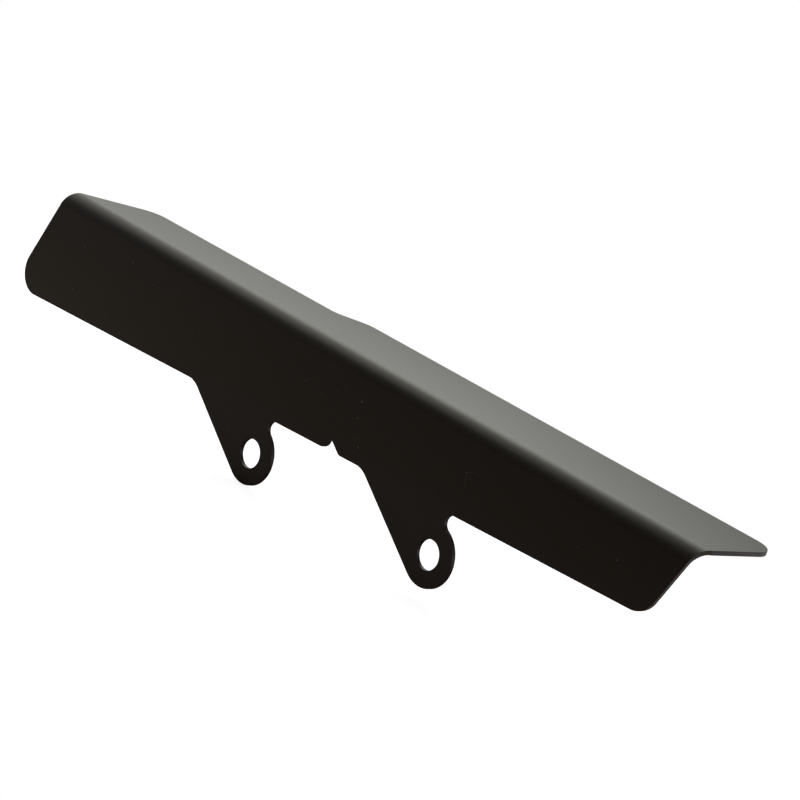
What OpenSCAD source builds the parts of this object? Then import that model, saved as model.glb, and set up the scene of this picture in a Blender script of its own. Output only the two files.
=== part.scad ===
// Belt guard of a motorcycle: one folded sheet, a side plate with two bolt tabs and a top flange.
// Frame: origin at the middle of the left bolt hole on the plate's outer face,
// +X along the fold, +Y from the outer face towards the flange's back edge, +Z up.

/* [Sheet] */
// Thickness of the sheet
sheet_t = 1.5; // [1:0.1:2.5]
// Outside radius of the fold
bend_r = 6; // [4:0.5:8]
// Height of the flange's top face above the left bolt hole
fold_z = 48.55; // [40:0.05:60]

/* [Side plate] */
// Height of the lower edge straight above the left bolt hole
edge_z = 13.85; // [13:0.05:15]
// Climb of the lower edge towards the right, in degrees
edge_tilt = 2.73; // [2:0.01:4]
// Left end of the plate where the fold starts
left_x = -134.2; // [-160:0.1:-115]
// Lean of the left end from upright, in degrees
left_lean = 21.8; // [10:0.1:30]
// Right end of the plate where the fold starts
right_x = 188; // [165:0.5:220]
// Lean of the right end from upright, in degrees
right_lean = 23.3; // [10:0.1:30]
// Radius of the two lower corners
corner_r = 8.9; // [4:0.1:12]

/* [Bolt tabs] */
// Distance along the fold between the two bolt holes
bolt_gap = 91; // [80:0.5:110]
// Height of the right bolt hole above the left one
bolt_rise = 3.05; // [2:0.05:4]
// Radius of the bolt holes
hole_r = 5; // [3:0.1:6.5]
// Radius of the round end of a tab
tab_r = 10.8; // [9:0.1:12]
// Fall of a tab's long flank and of the notch's flank, in degrees
flank_fall = 33.8; // [28:0.1:40]
// Radius between the lower edge and a tab's flank
flank_r = 9.3; // [4:0.1:12]
// Radius of the undercut between a tab's round end and the lower edge
undercut_r = 2.85; // [1.5:0.05:3.5]

/* [Notch] */
// Where the notch's flank would meet the lower edge
notch_x = 40.1; // [37:0.1:45]
// Radius at the foot of the notch's flank
notch_foot_r = 2.5; // [0.5:0.5:4]
// Radius of the lobe on the notch's other side
lobe_r = 3.5; // [3:0.1:4.5]
// Middle of the lobe
lobe_x = 30.5; // [27:0.1:32]

/* [Flange] */
// Width of the flange over its right part, from the plate's outer face
wide_w = 37.2; // [34:0.1:50]
// Width of the flange over its left part
narrow_w = 30.5; // [24:0.1:34]
// Where the slope between the two widths is half way up
step_x = -6.5; // [-30:0.1:30]
// Steepness of that slope, in degrees
step_rise = 31; // [25:1:45]
// Left end of the flange where the fold ends
flange_left_x = -131.4; // [-150:0.1:-110]
// Taper of the flange's left end from square, in degrees
taper = 30.4; // [10:0.1:45]
// Right end of the flange
flange_right_x = 191.2; // [165:0.1:220]
// Radius of the flange's round corners and of its step
flange_r = 9.4; // [4:0.1:12]

/* [Hidden] */
// Segments of a full circle
arc_n = 96;
// How far a cutter or a joined piece runs past the face that it meets
lap = 1;
// Arcs overlap the edges that they meet by this much, so that each pair crosses at one clear point
grip = 0.002;
// Steps of the cut round the fold, and the room that its cutter takes beyond the sheet's end
fan_n = 8;
fan_room = 12;
coat = [0.075, 0.07, 0.065];

// Where a line through p at angle a meets a line through q at angle b
function dir(a) = [cos(a), sin(a)];
function meet(p, a, q, b) = p + dir(a) * cross(q - p, dir(b)) / cross(dir(a), dir(b));

// Height of the lower edge at a place along the fold
function edge_at(x) = edge_z + x * tan(edge_tilt);

bend_z = fold_z - bend_r;
edge_p = [0, edge_z];
left_p = [left_x, bend_z];
right_p = [right_x, bend_z];
left_foot = meet(left_p, 90 - left_lean, edge_p, edge_tilt);
right_foot = meet(right_p, 90 - right_lean, edge_p, edge_tilt);
notch_foot = [notch_x, edge_at(notch_x)];
lobe_c = [lobe_x, edge_at(lobe_x) + lobe_r / cos(edge_tilt)];

// The piece between two edges that leave v at angles a1 and a2, and their common arc
module corner_piece(v, a1, a2, r) {
  half = abs(a2 - a1) / 2;
  mid = (a1 + a2) / 2;
  run = r / tan(half);
  c = v + dir(mid) * r / sin(half);
  difference() {
    polygon([v - dir(mid) * lap / 2, v + dir(a1) * run, c, v + dir(a2) * run]);
    translate(c)
      circle(r + grip, $fn = arc_n);
  }
}

// One tab, drawn round its bolt hole with the lower edge level at height d
module tab(d) {
  fall = flank_fall + edge_tilt;
  touch = (grip - tab_r) * [sin(fall), cos(fall)];
  top = meet(touch, -fall, [0, d], 0);
  under_z = d - undercut_r;
  under_x = sqrt((tab_r + undercut_r) ^ 2 - under_z ^ 2);
  difference() {
    union() {
      circle(tab_r, $fn = arc_n);
      polygon([top, touch, [0, 0], [under_x, under_z], [under_x, d + lap], [top[0], d + lap]]);
      corner_piece(top, 180, 360 - fall, flank_r);
    }
    translate([under_x, under_z])
      circle(undercut_r + grip, $fn = arc_n);
    circle(hole_r, $fn = arc_n);
  }
}

// Notch in the lower edge: a sloping flank on the right, a round lobe on the left
module notch() {
  lobe_side = lobe_c + [lobe_r, 0];
  tip = meet(notch_foot, 180 - flank_fall, lobe_side, 90);
  lobe_foot = [lobe_x, edge_at(lobe_x) - lap];
  difference() {
    polygon([notch_foot, tip, lobe_side, lobe_c, lobe_foot, notch_foot - [0, lap]]);
    translate(lobe_c)
      circle(lobe_r + grip, $fn = arc_n);
  }
  corner_piece(notch_foot, edge_tilt, 180 - flank_fall, notch_foot_r);
}

module plate_outline() {
  difference() {
    union() {
      difference() {
        polygon([left_foot, right_foot, right_p, left_p]);
        corner_piece(left_foot, edge_tilt, 90 - left_lean, corner_r);
        corner_piece(right_foot, 90 - right_lean, 180 + edge_tilt, corner_r);
      }
      rotate(edge_tilt)
        tab(edge_z * cos(edge_tilt));
      translate([bolt_gap, bolt_rise])
        rotate(edge_tilt)
          tab((edge_at(bolt_gap) - bolt_rise) * cos(edge_tilt));
    }
    notch();
  }
}

module flange_outline() {
  left_root = [flange_left_x, bend_r];
  right_root = [flange_right_x, bend_r];
  left_back = meet(left_root, 90 - taper, [0, narrow_w], 0);
  right_back = [flange_right_x, wide_w];
  step_mid = [step_x, (narrow_w + wide_w) / 2];
  step_low = meet(step_mid, step_rise, [0, narrow_w], 0);
  step_high = meet(step_mid, step_rise, [0, wide_w], 0);
  difference() {
    union() {
      polygon([left_root, right_root, right_back, step_high, step_low, left_back]);
      corner_piece(step_low, 180, step_rise, flange_r);
    }
    corner_piece(step_high, 180 + step_rise, 360, flange_r);
    corner_piece(left_back, 270 - taper, 360, flange_r);
    corner_piece(right_back, 180, 270, flange_r);
  }
}

// Cuts an end of the fold square to the sheet, from x0 at the plate to x1 at the flange
module fold_end(x0, x1, side) {
  near = bend_r - sheet_t - lap;
  far = bend_r + lap;
  out = x0 + side * fan_room;
  rim = [for (i = [-1:fan_n + 1]) let(u = i / fan_n, x = x0 + (x1 - x0) * u)
    for (p = [[x, near], [x, far], [out, far], [out, near]])
      [p[0], bend_r - p[1] * cos(90 * u), bend_z + p[1] * sin(90 * u)]];
  rings = fan_n + 2;
  sides = [for (i = [0:rings - 1]) for (k = [0:3])
    [4 * i + k, 4 * i + (k + 1) % 4, 4 * i + 4 + (k + 1) % 4, 4 * i + 4 + k]];
  tris = [for (q = sides) each [[q[0], q[1], q[2]], [q[0], q[2], q[3]]]];
  caps = [[3, 2, 1, 0], [for (k = [0:3]) 4 * rings + k]];
  faces = concat(tris, caps);
  polyhedron(rim, side < 0 ? faces : [for (f = faces) [for (k = [len(f) - 1:-1:0]) f[k]]]);
}

// Quarter ring between plate and flange
module fold() {
  difference() {
    translate([left_x - lap, bend_r, bend_z])
      rotate([90, 0, 90])
        linear_extrude(flange_right_x - left_x + 2 * lap)
          intersection() {
            difference() {
              circle(bend_r, $fn = arc_n);
              circle(bend_r - sheet_t, $fn = arc_n);
            }
            translate([-bend_r, 0])
              square(bend_r);
          }
    fold_end(left_x, flange_left_x, -1);
    fold_end(right_x, flange_right_x, 1);
  }
}

module belt_guard() {
  color(coat) {
    translate([0, sheet_t, 0])
      rotate([90, 0, 0])
        linear_extrude(sheet_t)
          plate_outline();
    fold();
    translate([0, 0, fold_z - sheet_t])
      linear_extrude(sheet_t)
        flange_outline();
  }
}

belt_guard();
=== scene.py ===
import math
import bpy
import numpy as np
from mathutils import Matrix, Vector
from mathutils.geometry import delaunay_2d_cdt


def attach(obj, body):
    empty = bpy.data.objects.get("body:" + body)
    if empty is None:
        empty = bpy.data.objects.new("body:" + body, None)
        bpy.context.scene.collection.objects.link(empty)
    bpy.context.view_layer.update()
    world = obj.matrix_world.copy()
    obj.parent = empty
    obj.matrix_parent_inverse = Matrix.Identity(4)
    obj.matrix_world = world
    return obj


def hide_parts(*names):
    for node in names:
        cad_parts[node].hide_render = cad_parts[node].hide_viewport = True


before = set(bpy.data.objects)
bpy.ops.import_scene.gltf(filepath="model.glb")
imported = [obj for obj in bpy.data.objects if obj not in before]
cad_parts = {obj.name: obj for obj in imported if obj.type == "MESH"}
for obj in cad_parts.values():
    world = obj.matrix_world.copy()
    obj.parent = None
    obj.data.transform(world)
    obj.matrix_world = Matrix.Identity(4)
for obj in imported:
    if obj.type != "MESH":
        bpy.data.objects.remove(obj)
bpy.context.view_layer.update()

# Side plate: the upright part of the guard, cut with all the rest of it from one steel sheet. Its
# lower edge climbs to the right and both its ends lean. Sizes are in mm and angles in degrees, and
# its edge is drawn in x along the fold and in height over the left bolt hole.
FOLD_TOP, FOLD_R = 48.55, 6.0
EDGE_HEIGHT, EDGE_CLIMB = 13.85, 2.73
PLATE_LEFT, LEFT_LEAN = -134.2, 21.8
PLATE_RIGHT, RIGHT_LEAN = 188.0, 23.3
PLATE_CORNER_R = 8.9
ARC_STEP = 3.0
MM = 0.001

fold_start = FOLD_TOP - FOLD_R


def way(angle):
    """Unit vector at an angle: its cosine and its sine."""
    return np.array([math.cos(math.radians(angle)), math.sin(math.radians(angle))])


def cross(s, t):
    """Cross product of two flat vectors, a number."""
    return s[0] * t[1] - s[1] * t[0]


def meet(p, a, q, b):
    """Point where the line through p at angle a crosses the line through q at angle b: as far from
    p as the cross product of q - p and way b, over the cross product of way a and way b."""
    p, q = np.asarray(p, float), np.asarray(q, float)
    return p + way(a) * cross(q - p, way(b)) / cross(way(a), way(b))


def arc(centre, radius, start, end):
    """Points on a circle about centre, from one angle to another, a step or less apart."""
    count = max(3, int(abs(end - start) / ARC_STEP) + 2)
    turn = np.radians(np.linspace(start, end, count))
    return np.stack([centre[0] + radius * np.cos(turn), centre[1] + radius * np.sin(turn)], 1)


def rounded(corner, come, leave, radius):
    """Arc that touches both edges of a corner, which come in along one angle and leave along the
    other. It starts before the corner by the radius times the tangent of half the turn, and its
    centre is a radius to the side of its start."""
    turn = (leave - come + 180.0) % 360.0 - 180.0
    side = math.copysign(1.0, turn)
    start = corner - way(come) * radius * math.tan(math.radians(abs(turn) / 2))
    centre = start + side * radius * way(come + 90.0)
    return arc(centre, radius, come - side * 90.0, come - side * 90.0 + turn)


def lower_edge(x):
    """Height of the straight lower edge: that at x of 0, plus x times the tangent of its climb."""
    return EDGE_HEIGHT + x * math.tan(math.radians(EDGE_CLIMB))


left_foot = meet((PLATE_LEFT, fold_start), 90.0 - LEFT_LEAN, (0.0, EDGE_HEIGHT), EDGE_CLIMB)
right_foot = meet((PLATE_RIGHT, fold_start), 90.0 - RIGHT_LEAN, (0.0, EDGE_HEIGHT), EDGE_CLIMB)
left_corner = rounded(left_foot, 270.0 - LEFT_LEAN, 360.0 + EDGE_CLIMB, PLATE_CORNER_R)
right_corner = rounded(right_foot, EDGE_CLIMB, 90.0 - RIGHT_LEAN, PLATE_CORNER_R)

# Bolt tabs: two tongues of the same sheet below the lower edge, each with a round end about the
# hole for a bolt that holds the guard. A long flank joins the end to the edge on the left, and a
# round undercut on the right.
BOLTS = ((0.0, 0.0), (91.0, 3.05))
HOLE_R = 5.0
TAB_R = 10.8
TAB_FALL, TAB_FILLET_R = 33.8, 9.3
UNDERCUT_R = 2.85


def tab_path(bolt):
    """Fillet, straight flank, round end and undercut, drawn about the hole with the edge level and
    then turned by its climb. The flank touches the round end; the undercut's centre is its radius
    below the edge and both radii from the hole."""
    depth = (lower_edge(bolt[0]) - bolt[1]) * math.cos(math.radians(EDGE_CLIMB))
    fall = TAB_FALL + EDGE_CLIMB
    flank_end = -TAB_R * np.array([math.sin(math.radians(fall)), math.cos(math.radians(fall))])
    flank_top = meet(flank_end, -fall, (0.0, depth), 0.0)
    under_z = depth - UNDERCUT_R
    under_x = math.sqrt((TAB_R + UNDERCUT_R) ** 2 - under_z ** 2)
    under = math.degrees(math.atan2(under_z, under_x))
    level = np.concatenate([
        rounded(flank_top, 0.0, -fall, TAB_FILLET_R),
        arc((0.0, 0.0), TAB_R, -90.0 - fall, under),
        arc((under_x, under_z), UNDERCUT_R, under + 180.0, 90.0)])
    return np.asarray(bolt) + level[:, :1] * way(EDGE_CLIMB) + level[:, 1:] * way(EDGE_CLIMB + 90.0)


# Notch: cut into the plate's lower edge between the tabs. It has a round lobe and an upright side
# on its left, and on its right a flank that falls as the tabs' flanks do.
LOBE_X, LOBE_R = 30.5, 3.5
NOTCH_X, NOTCH_FOOT_R = 40.1, 2.5


def notch_path():
    """A quarter turn about the lobe's centre, which is a radius above the lower edge, then up to
    the notch's top, down its flank and out to the edge by a small arc."""
    lobe = np.array([LOBE_X, lower_edge(LOBE_X) + LOBE_R / math.cos(math.radians(EDGE_CLIMB))])
    foot = np.array([NOTCH_X, lower_edge(NOTCH_X)])
    top = meet(foot, 180.0 - TAB_FALL, lobe + [LOBE_R, 0.0], 90.0)
    return np.concatenate([arc(lobe, LOBE_R, EDGE_CLIMB - 90.0, 0.0), top[None],
                           rounded(foot, -TAB_FALL, EDGE_CLIMB, NOTCH_FOOT_R)])


plate_edge = np.concatenate([
    left_corner, tab_path(BOLTS[0]), notch_path(), tab_path(BOLTS[1]), right_corner])

# Flange: the level part of the sheet that covers the belt, wide over its right part and narrow over
# its left, with a sloping step between the two and a slanted left end. Its edge is drawn in x and
# in distance from the plate's outer face.
FLANGE_WIDE, FLANGE_NARROW = 37.2, 30.5
STEP_X, STEP_RISE = -6.5, 31.0
FLANGE_LEFT, FLANGE_TAPER = -131.4, 30.4
FLANGE_RIGHT = 191.2
FLANGE_CORNER_R = 9.4

step_mid = (STEP_X, (FLANGE_NARROW + FLANGE_WIDE) / 2)
step_high = meet(step_mid, STEP_RISE, (0.0, FLANGE_WIDE), 0.0)
step_low = meet(step_mid, STEP_RISE, (0.0, FLANGE_NARROW), 0.0)
left_back = meet((FLANGE_LEFT, FOLD_R), 90.0 - FLANGE_TAPER, (0.0, FLANGE_NARROW), 0.0)
right_back = np.array([FLANGE_RIGHT, FLANGE_WIDE])
flange_edge = np.concatenate([
    rounded(right_back, 90.0, 180.0, FLANGE_CORNER_R),
    rounded(step_high, 180.0, 180.0 + STEP_RISE, FLANGE_CORNER_R),
    rounded(step_low, 180.0 + STEP_RISE, 180.0, FLANGE_CORNER_R),
    rounded(left_back, 180.0, 270.0 - FLANGE_TAPER, FLANGE_CORNER_R)])

# Fold: the sheet is bent once through a right angle, which joins plate and flange. The blank is
# drawn flat, as it is cut, in x and w, the way across the fold on the outer face from the line
# where the fold starts; its ends are straight there. The bend then carries it to its place.
FOLD_ROWS = 24
SHORTEST = 1e-4
CLOSE = 1e-6

fold_run = FOLD_R * math.pi / 2
climb = np.linspace(0.0, 1.0, FOLD_ROWS + 1)
right_end = np.stack([PLATE_RIGHT + (FLANGE_RIGHT - PLATE_RIGHT) * climb, fold_run * climb], 1)
left_end = np.stack([PLATE_LEFT + (FLANGE_LEFT - PLATE_LEFT) * climb, fold_run * climb], 1)[::-1]
outline = np.concatenate([plate_edge - [0.0, fold_start], right_end,
                          flange_edge + [0.0, fold_run - FOLD_R], left_end])
outline = outline[np.hypot(*(outline - np.roll(outline, 1, 0)).T) > SHORTEST]
holes = [arc((x, z - fold_start), HOLE_R, 360.0, 0.0)[:-1] for x, z in BOLTS]


def in_fold(loop):
    """True for each point of a loop that is on the fold or on its first or last line."""
    return (loop[:, 1] > -CLOSE) & (loop[:, 1] < fold_run + CLOSE)


def folded(x, w, depth):
    """Carries the flat blank round the fold: the turn is w over the fold's radius, from none to a
    right angle, at the radius less the depth under the outer face; what w has left before or past
    the fold runs straight on, down the plate or back along the flange."""
    turn = np.clip(w / FOLD_R, 0.0, math.pi / 2)
    left = w - FOLD_R * turn
    y = FOLD_R - (FOLD_R - depth) * np.cos(turn) + np.maximum(left, 0.0)
    z = fold_start + (FOLD_R - depth) * np.sin(turn) + np.minimum(left, 0.0)
    return np.stack([x, y, z], -1)


def folded_normal(w, along, across, out):
    """Turns a direction by the fold's turn at w. It is given by its parts along x, across the fold
    and out of the outer face."""
    turn = np.clip(w / FOLD_R, 0.0, math.pi / 2)
    return np.stack([along, across * np.sin(turn) - out * np.cos(turn),
                     across * np.cos(turn) + out * np.sin(turn)], -1)


# Cut edges: the blank's rim and its bolt holes, cut square to the sheet and softened by the coat.
# Their profile runs from the outer face to the inner one: a quarter round, the cut wall, a second
# quarter round. Tilt is the angle of its normal from the outer face's.
SHEET_T = 1.5
EDGE_SOFT = 0.1
ROUND_POINTS = 7

quarter = np.radians(np.linspace(0.0, 90.0, ROUND_POINTS))
tilt = np.concatenate([quarter, quarter + math.pi / 2])
inset = EDGE_SOFT * (1.0 - np.sin(tilt))
depth = np.concatenate([EDGE_SOFT * (1.0 - np.cos(quarter)),
                        SHEET_T - EDGE_SOFT * (1.0 - np.sin(quarter))])


def edge_frame(loop):
    """Unit normal out of the sheet at each point of a closed loop, and the miter that an inset
    follows: the sum of both sides' normals over one plus their dot product. Where the sheet bends
    the miter is level, one over the normal's part along x, so a row of the fold stays a row."""
    ahead = np.roll(loop, -1, 0) - loop
    ahead /= np.hypot(*ahead.T)[:, None]
    out = np.stack([ahead[:, 1], -ahead[:, 0]], 1)
    before = np.roll(out, 1, 0)
    miter = (out + before) / (1.0 + (out * before).sum(1))[:, None]
    normal = miter / np.hypot(*miter.T)[:, None]
    level = in_fold(loop)
    miter[level] = np.stack([1.0 / normal[level, 0], np.zeros(level.sum())], 1)
    return normal, miter


def between(grid):
    """Faces with four corners between the neighbouring rows and columns of a grid of points."""
    return np.stack([grid[:-1, :-1], grid[:-1, 1:], grid[1:, 1:], grid[1:, :-1]], -1).reshape(-1, 4)


points, normals, quads, rings = [], [], [], []
count = 0
for loop in [outline] + holes:
    normal, miter = edge_frame(loop)
    x = loop[:, :1] - miter[:, :1] * inset
    w = loop[:, 1:] - miter[:, 1:] * inset
    points.append(folded(x, w, depth).reshape(-1, 3))
    normals.append(folded_normal(w, normal[:, :1] * np.sin(tilt), normal[:, 1:] * np.sin(tilt),
                                 np.cos(tilt)).reshape(-1, 3))
    index = count + np.arange(x.size).reshape(x.shape)
    quads.append(between(np.concatenate([index, index[:1]])))
    rings.append((np.stack([x[:, 0], w[:, 0]], 1), index))
    count += index.size

# Faces: the sheet's outer and inner side. In the fold each is a grid of rows and columns between
# the guard's two ends; the plate and the flange are filled flat up to its first and last row.
FOLD_COLUMNS = 40
INSIDE_ONLY, MERGE_GAP = 1, 1e-7

rim, rim_index = rings[0]
share = np.linspace(0.0, 1.0, FOLD_COLUMNS + 1)[1:-1]
right_rows = np.flatnonzero(in_fold(outline) & (outline[:, 0] > 0.0))
left_rows = np.flatnonzero(in_fold(outline) & (outline[:, 0] < 0.0))[::-1]
row_x = rim[left_rows, :1] + (rim[right_rows, :1] - rim[left_rows, :1]) * share
row_w = np.repeat(rim[left_rows, 1:], len(share), 1)
none = np.zeros_like(row_w)


def from_point(ring, first):
    """The same ring of points, starting at the one that is named."""
    return np.roll(ring, -int(np.flatnonzero(ring == first)[0]))


def fill(loops):
    """Triangles of a flat region from loops of points and their mesh indices, the first loop
    outside; a triangle with all its corners on one of the other loops is in a hole and left out."""
    flat = np.concatenate([p for p, _ in loops])
    names = np.concatenate([i for _, i in loops])
    which = np.repeat(np.arange(len(loops)), [len(p) for p, _ in loops])
    edges, start = [], 0
    for p, _ in loops:
        here = start + np.arange(len(p))
        edges += np.stack([here, np.roll(here, -1)], 1).tolist()
        start += len(p)
    _, _, faces, origin, _, _ = delaunay_2d_cdt(
        [Vector(p) for p in flat], edges, [], INSIDE_ONLY, MERGE_GAP)
    faces = np.array([o[0] for o in origin])[np.array(faces)]
    ring = which[faces]
    return names[faces[(ring.min(1) == 0) | (ring.min(1) < ring.max(1))]]


plate_rim = from_point(np.flatnonzero(outline[:, 1] < CLOSE), left_rows[0])
flange_rim = from_point(np.flatnonzero(outline[:, 1] > fold_run - CLOSE), right_rows[-1])
first_row = np.stack([row_x[0], row_w[0]], 1)[::-1]
last_row = np.stack([row_x[-1], row_w[-1]], 1)
triangles = []
for column, level, out in ((0, 0.0, 1), (-1, SHEET_T, -1)):
    points.append(folded(row_x, row_w, level).reshape(-1, 3))
    normals.append(folded_normal(row_w, none, none, none + out).reshape(-1, 3))
    inner = count + np.arange(row_x.size).reshape(row_x.shape)
    count += row_x.size
    side = rim_index[:, column]
    bend = between(np.concatenate([side[left_rows, None], inner, side[right_rows, None]], 1))
    plate = fill([(np.concatenate([rim[plate_rim], first_row]),
                   np.concatenate([side[plate_rim], inner[0][::-1]]))]
                 + [(p, i[:, column]) for p, i in rings[1:]])
    flange = fill([(np.concatenate([rim[flange_rim], last_row]),
                    np.concatenate([side[flange_rim], inner[-1]]))])
    quads.append(bend[:, ::out])
    triangles += [plate[:, ::out], flange[:, ::out]]

mesh = bpy.data.meshes.new("guard_sheet")
mesh.from_pydata((np.concatenate(points) * MM).tolist(), [],
                 np.concatenate(quads).tolist() + np.concatenate(triangles).tolist())
mesh.shade_smooth()
mesh.normals_split_custom_set_from_vertices(np.concatenate(normals).tolist())
guard = bpy.data.objects.new("guard_sheet", mesh)
bpy.context.scene.collection.objects.link(guard)
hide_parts("belt_guard")
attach(guard, "root")

# Coat: satin black powder, a touch brown, sprayed on the finished sheet and baked. It is faintly
# cloudy, has a fine orange peel, and is a little rougher towards the flange's back edge. A lighter
# grey is painted on the tabs and along the plate's lower edge: a painted reflection of the pale
# table.
BLACK = (0.0182, 0.0120, 0.0078, 1.0)
BLACK_CLOUD = (0.0212, 0.0142, 0.0098, 1.0)
SHEEN_GREY = (0.0250, 0.0185, 0.0165, 1.0)
SHEEN_CLIMB, SHEEN_NONE, SHEEN_FULL = 0.0477, 0.0215, 0.0125
FLANGE_BACK = 0.037
PEEL_HEIGHT, PEEL_STRENGTH = 0.02, 0.25
GLOSS = 0.213


class Link:
    """An output socket of a node. Arithmetic on it adds Math nodes to its tree."""

    def __init__(self, tree, socket=None):
        self.tree = tree
        self.socket = socket

    def node(self, kind, settings=(), inputs=(), out=0):
        """Adds a node: its settings first, then its sockets' values or links. Gives one output."""
        made = self.tree.nodes.new(kind)
        for name, value in dict(settings).items():
            setattr(made, name, value)
        for name, value in dict(inputs).items():
            if isinstance(value, Link):
                self.tree.links.new(value.socket, made.inputs[name])
            else:
                made.inputs[name].default_value = value
        return Link(self.tree, made.outputs[out] if made.outputs else None)

    def figure(self, operation, a, b):
        """A Math node on two values or links."""
        return self.node("ShaderNodeMath", {"operation": operation}, {0: a, 1: b})

    def __add__(self, other):
        return self.figure("ADD", self, other)

    def __radd__(self, other):
        return self.figure("ADD", other, self)

    def __sub__(self, other):
        return self.figure("SUBTRACT", self, other)

    def __rsub__(self, other):
        return self.figure("SUBTRACT", other, self)

    def __mul__(self, other):
        return self.figure("MULTIPLY", self, other)

    def __rmul__(self, other):
        return self.figure("MULTIPLY", other, self)

    def __lt__(self, other):
        return self.figure("LESS_THAN", self, other)

    def __gt__(self, other):
        return self.figure("GREATER_THAN", self, other)

    def blend(self, low, high):
        """Mixes two colours by this value, through the Mix node's colour sockets 6, 7 and 2."""
        return self.node("ShaderNodeMix", {"data_type": "RGBA"}, {0: self, 6: low, 7: high}, 2)

    def rise(self, start, end, full=1.0, kind="LINEAR"):
        """0 where this value is start and full where it is end, level outside, and straight or
        smooth between."""
        return self.node("ShaderNodeMapRange", {"interpolation_type": kind},
                         {"Value": self, "From Min": start, "From Max": end, "To Max": full})

    def part(self, axis):
        """One part of this vector: 0 is x, 1 is y, 2 is z."""
        return self.node("ShaderNodeSeparateXYZ", inputs={0: self}, out=axis)


coat = bpy.data.materials.new("black_powder_coat")
coat.use_nodes = True
paint = coat.node_tree.nodes["Principled BSDF"]
spot = Link(coat.node_tree).node("ShaderNodeTexCoord", out="Object")


def mottle(waves, detail, roughness):
    """Noise over the coat with so many waves to the metre."""
    return spot.node("ShaderNodeTexNoise", inputs={
        "Vector": spot, "Scale": waves, "Detail": detail, "Roughness": roughness})


cloud = mottle(14.0, 3.0, 0.55)
peel = mottle(650.0, 2.0, 0.5)
grit = mottle(3600.0, 1.0, 0.5)
# Painted reflection: towards the plate's lower edge and on the tabs the base colour turns a lighter
# grey, standing in for the pale table mirrored there.
above_edge = spot.part(2) - SHEEN_CLIMB * spot.part(0)
painted_sheen = above_edge.rise(SHEEN_NONE, SHEEN_FULL, kind="SMOOTHSTEP")
black = painted_sheen.blend(cloud.blend(BLACK, BLACK_CLOUD), SHEEN_GREY)
outward = spot.part(1).rise(FOLD_R * MM, FLANGE_BACK)
bump = spot.node("ShaderNodeBump", inputs={
    "Strength": PEEL_STRENGTH, "Distance": PEEL_HEIGHT * MM, "Height": peel + 0.5 * grit})

# Dust: pale and dark grains and a bit of lint that lie on the coat of the plate, and one dark grain
# on the flange. Each has its place in mm, its radius, and how pale it is; those with 0 are dark.
PALE_DUST = (0.230, 0.220, 0.205, 1.0)
DARK_DUST = (0.003, 0.003, 0.003, 1.0)
GRAINS = (
    (-113.9, 0, 33.5, 0.30, 0.45), (-85.8, 0, 37.6, 0.36, 0.35), (-83.3, 0, 32.2, 0.34, 0.0),
    (-72.3, 0, 33.9, 0.22, 0.35), (-72.1, 0, 33.0, 0.26, 0.0), (-58.5, 0, 37.0, 0.36, 0.18),
    (-59.3, 0, 36.3, 0.22, 0.0), (-114.0, 0, 17.3, 0.38, 0.18), (-112.9, 0, 17.0, 0.28, 0.0),
    (-44.9, 0, 25.9, 0.26, 0.28), (-44.0, 0, 26.1, 0.30, 0.0), (-13.2, 0, 2.6, 0.26, 0.25),
    (-12.6, 0, 2.4, 0.28, 0.0), (-7.3, 0, 12.8, 0.25, 0.0), (-4.4, 0, 10.7, 0.24, 0.30),
    (15.4, 0, 32.3, 0.32, 0.35), (16.0, 0, 31.6, 0.24, 0.0), (31.0, 0, 34.9, 0.30, 0.30),
    (24.0, 0, 30.9, 0.24, 0.22), (23.8, 0, 28.0, 0.24, 0.22), (43.0, 0, 35.7, 0.34, 1.0),
    (43.5, 0, 34.9, 0.22, 0.0), (43.5, 0, 30.2, 0.28, 0.5), (44.7, 0, 23.4, 0.22, 0.25),
    (47.7, 0, 21.7, 0.38, 0.45), (46.9, 0, 21.5, 0.22, 0.0), (39.4, 0, 22.7, 0.26, 0.2),
    (147.8, 0, 30.6, 0.30, 0.2), (163.4, 0, 33.2, 0.38, 0.35), (163.0, 0, 32.2, 0.20, 0.0),
    (-85.5, 13.9, FOLD_TOP, 0.34, 0.0))
LINT = (
    (96.7, 0, 29.6, 0.14, 0.5), (96.3, 0, 30.7, 0.14, 0.5), (96.1, 0, 31.8, 0.16, 0.5),
    (95.9, 0, 32.9, 0.24, 0.6), (96.6, 0, 33.5, 0.14, 0.5), (97.5, 0, 33.9, 0.14, 0.5),
    (98.6, 0, 34.2, 0.14, 0.4), (99.8, 0, 34.4, 0.14, 0.4), (100.9, 0, 34.4, 0.14, 0.4),
    (78.6, 0, 32.1, 0.14, 0.4), (79.4, 0, 31.7, 0.14, 0.4), (80.2, 0, 31.4, 0.14, 0.4),
    (81.2, 0, 31.2, 0.14, 0.3))

pale, dark = 0.0, 0.0
for x, y, z, radius, paleness in GRAINS + LINT:
    gap = spot.node("ShaderNodeVectorMath", {"operation": "DISTANCE"},
                    {0: spot, 1: (x * MM, y * MM, z * MM)}, "Value")
    grain = gap < radius * MM
    if paleness:
        pale = pale + paleness * grain
    else:
        dark = dark + grain

colour = pale.blend(dark.blend(black, DARK_DUST), PALE_DUST)
rough = 0.438 + 0.055 * outward + 0.03 * cloud + 0.02 * grit + 0.2 * dark
for name, link in (("Base Color", colour), ("Roughness", rough), ("Normal", bump)):
    coat.node_tree.links.new(link.socket, paint.inputs[name])
paint.inputs["Specular IOR Level"].default_value = GLOSS
guard.data.materials.append(coat)
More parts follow.
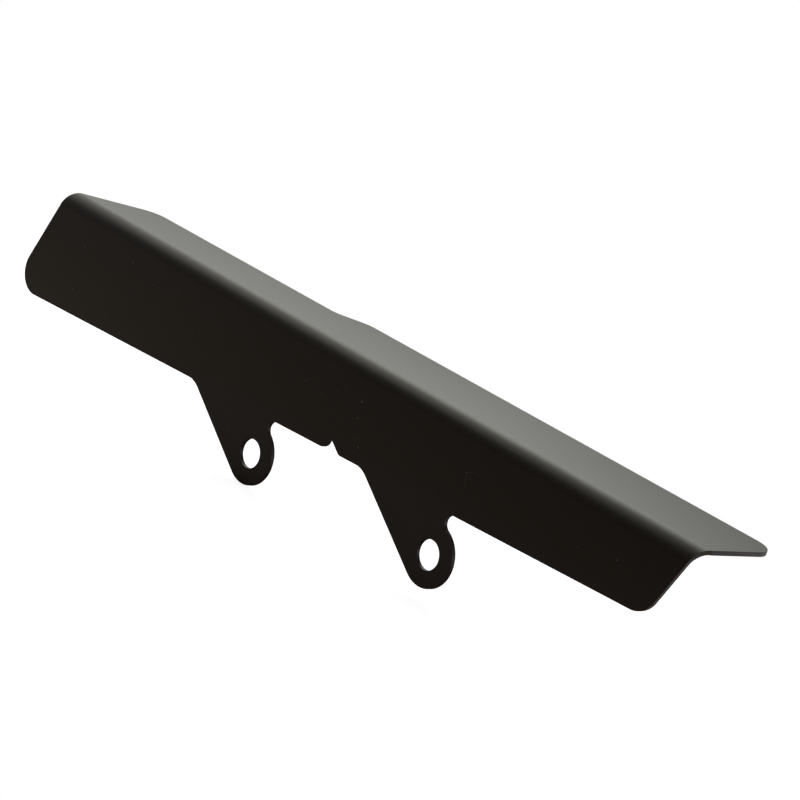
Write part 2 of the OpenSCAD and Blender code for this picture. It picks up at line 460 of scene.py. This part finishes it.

# Table: a small oval cream top just under the tabs. The camera sees it glow nearly white, with a
# trace of the guard's shadow. For glossy rays it glows warm and dim, a painted light that the
# guard's gloss and cut edges mirror, with painted shade behind the tabs and a brighter painted glow
# at the right end.
TABLE_MIDDLE, TABLE_HALF = (-0.02, 0.02), (0.36, 0.16)
TABLE_TOP = -0.0109
TABLE_POINTS = 96
CREAM = (0.58, 0.51, 0.44, 1.0)
# Painted shade: the table's darker colour behind the tabs.
CREAM_PAINTED_SHADE = (0.06, 0.055, 0.05, 1.0)
CREAM_SEEN = (0.50, 0.49, 0.55, 1.0)
# Painted light: the colours of the table's glow for glossy rays, warm, and cooler at the right end.
PAINTED_GLOW_WARM = (1.0, 0.72, 0.68, 1.0)
PAINTED_GLOW_COOL = (0.88, 0.88, 1.0, 1.0)
WHITE = (1.0, 1.0, 1.0, 1.0)

around = np.linspace(0.0, 2.0 * math.pi, TABLE_POINTS + 1)[:-1]
oval = np.stack([TABLE_MIDDLE[0] + TABLE_HALF[0] * np.cos(around),
                 TABLE_MIDDLE[1] + TABLE_HALF[1] * np.sin(around),
                 np.full(TABLE_POINTS, TABLE_TOP)], 1)
table_mesh = bpy.data.meshes.new("table_top")
table_mesh.from_pydata(oval.tolist(), [], [list(range(TABLE_POINTS))])
table = bpy.data.objects.new("table_top", table_mesh)
bpy.context.scene.collection.objects.link(table)

cream_paint = bpy.data.materials.new("cream_table")
cream_paint.use_nodes = True
cream_paint.node_tree.nodes.clear()
top = Link(cream_paint.node_tree)
seen = top.node("ShaderNodeLightPath", out="Is Camera Ray")
mirrored = top.node("ShaderNodeLightPath", out="Is Glossy Ray")
place = top.node("ShaderNodeTexCoord", out="Object")
along, back = place.part(0), place.part(1)
# Painted shade: behind the tabs the table is darker for all but camera rays, and it no longer glows
# for glossy rays.
painted_shade_behind_tabs = back.rise(-0.008, 0.004) * back.rise(0.045, 0.030) * along.rise(0.17, 0.13)
# Painted light: towards the right end the table's glow for glossy rays grows brighter and cooler.
right_end = along.rise(0.16, 0.21)
cream = seen.blend(painted_shade_behind_tabs.blend(CREAM, CREAM_PAINTED_SHADE), CREAM_SEEN)
glow = seen.blend(right_end.blend(PAINTED_GLOW_WARM, PAINTED_GLOW_COOL), WHITE)
strength = 0.88 * seen + mirrored * (0.12 - 0.12 * painted_shade_behind_tabs + 0.55 * right_end)
lit = top.node("ShaderNodeBsdfDiffuse", inputs={"Color": cream})
glowing = top.node("ShaderNodeEmission", inputs={"Color": glow, "Strength": strength})
both = top.node("ShaderNodeAddShader", inputs={0: lit, 1: glowing})
top.node("ShaderNodeOutputMaterial", inputs={"Surface": both})
table.data.materials.append(cream_paint)

# Room: the camera sees it white. It lights the guard softly from behind and from the left and has a
# bright card at the back on the right; the gloss also mirrors a fill at the front on the right.
BACK_LEFT = (-0.866, 0.5, 0.0)
BACK_RIGHT = (0.66, 0.66, -0.36)
FRONT_RIGHT = (0.64, -0.64, 0.42)

world = bpy.data.worlds.new("white_room")
bpy.context.scene.world = world
world.use_nodes = True
world.node_tree.nodes.clear()
air = Link(world.node_tree)
seen = air.node("ShaderNodeLightPath", out="Is Camera Ray")
mirrored = air.node("ShaderNodeLightPath", out="Is Glossy Ray")
view = air.node("ShaderNodeTexCoord", out="Generated")


def light_from(side, start, end, full):
    """Light that rises smoothly with the ray's cosine to a side: none at start, full at end."""
    cosine = view.node("ShaderNodeVectorMath", {"operation": "DOT_PRODUCT"},
                       {0: view, 1: side}, "Value")
    return cosine.rise(start, end, full, "SMOOTHSTEP")


light = (light_from(BACK_LEFT, 0.12, 1.2, 1.38) + light_from(BACK_RIGHT, 0.56, 1.0, 2.1)
         + light_from(FRONT_RIGHT, 0.45, 0.95, 1.0) * mirrored)
sky = air.node("ShaderNodeBackground", inputs={"Color": seen.blend(light, WHITE), "Strength": 1.0})
air.node("ShaderNodeOutputWorld", inputs={"Surface": sky})

# Lamps: a tall soft panel behind the guard on the left and a long soft strip on the left, both
# turned to its middle. Sizes are in metres, azimuth and height in degrees as seen from the guard.
LAMP_AIM, LAMP_GAP = Vector((0.03, 0.02, 0.03)), 1.1

for name, across, tall, watts, tint, azimuth, height in (
        ("panel_lamp", 0.57, 0.97, 6.25, (0.95, 1.0, 0.89), 137.0, 46.5),
        ("strip_lamp", 0.90, 0.10, 2.6, (1.0, 1.0, 0.87), 180.0, 44.4)):
    lamp_data = bpy.data.lights.new(name, "AREA")
    lamp_data.shape = "RECTANGLE"
    lamp_data.size, lamp_data.size_y = across, tall
    lamp_data.energy, lamp_data.color = watts, tint
    lamp = bpy.data.objects.new(name, lamp_data)
    a, e = math.radians(azimuth), math.radians(height)
    from_guard = Vector((math.cos(e) * math.cos(a), math.cos(e) * math.sin(a), math.sin(e)))
    lamp.location = LAMP_AIM + LAMP_GAP * from_guard
    lamp.rotation_euler = from_guard.to_track_quat("Z", "Y").to_euler()
    bpy.context.scene.collection.objects.link(lamp)

# Camera: its place, aim and lens were solved from the guard's outline in the photograph, for an
# image of 800 by 800.
lens = bpy.data.cameras.new("camera")
lens.sensor_width = 36.0
lens.lens = 130.36
lens.clip_start, lens.clip_end = 0.05, 20.0
camera = bpy.data.objects.new("camera", lens)
camera.location = (0.6820416, -0.6470000, 0.2505281)
camera.rotation_euler = [math.radians(a) for a in (76.3480, -17.2352, 48.0338)]
bpy.context.scene.collection.objects.link(camera)
bpy.context.scene.camera = camera
bpy.context.scene.view_settings.view_transform = "Standard"
